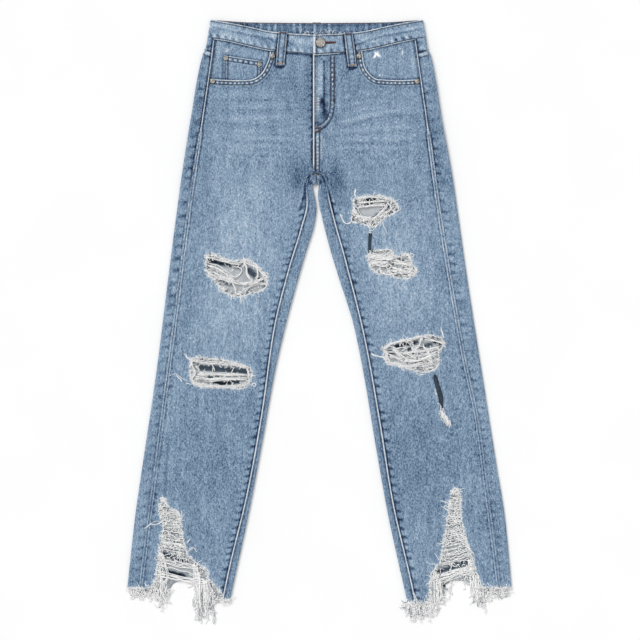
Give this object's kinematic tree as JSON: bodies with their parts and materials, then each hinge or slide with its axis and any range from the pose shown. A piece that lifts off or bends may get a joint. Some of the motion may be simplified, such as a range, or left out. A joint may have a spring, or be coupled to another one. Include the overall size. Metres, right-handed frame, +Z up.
{
  "type": "ripped jeans",
  "caption": "Flat-laid ankle-length faded denim jeans, front up, with a dipped waistband, curved front pockets, ripped thighs and knees and torn, fringed hems.",
  "frame": {"origin": "middle of the laid-out garment's outline, on the surface it lies on", "axes": "+Y from the hems to the waist, +X to the wearer's left, +Z up out of the front"},
  "size_m": [0.6538, 1.0282, 0.0127],
  "materials": {
    "denim": "faded mid-blue cotton twill, matt, with pale worn seams",
    "white_thread": "loose undyed cotton weft, matt",
    "stitch_thread": "brown and tan sewing thread, matt",
    "zip_tape": "dark woven zip tape",
    "button_metal": "aged pale metal, satin",
    "rivet_metal": "aged copper-toned metal, satin"
  },
  "bodies": {
    "root": {"back_right": "denim", "back_left": "denim", "yoke_right": "denim", "yoke_left": "denim", "front_right": "denim", "front_left": "denim", "waistband": "denim", "pocket_facing_right": "denim", "pocket_facing_left": "denim", "coin_pocket": "denim", "back_pocket_right": "denim", "back_pocket_left": "denim", "fly_zip": "zip_tape", "belt_loop_front_right": "denim", "belt_loop_front_left": "denim", "belt_loop_back_right": "denim", "belt_loop_back_centre": "denim", "belt_loop_back_left": "denim", "button": "button_metal", "rivet_pocket_right": "rivet_metal", "rivet_pocket_left": "rivet_metal", "rivet_side_right": "rivet_metal", "rivet_side_left": "rivet_metal", "rivet_coin_outer": "rivet_metal", "rivet_coin_inner": "rivet_metal", "fringe_right": "white_thread", "fringe_left": "white_thread"}
  },
  "joints": []
}
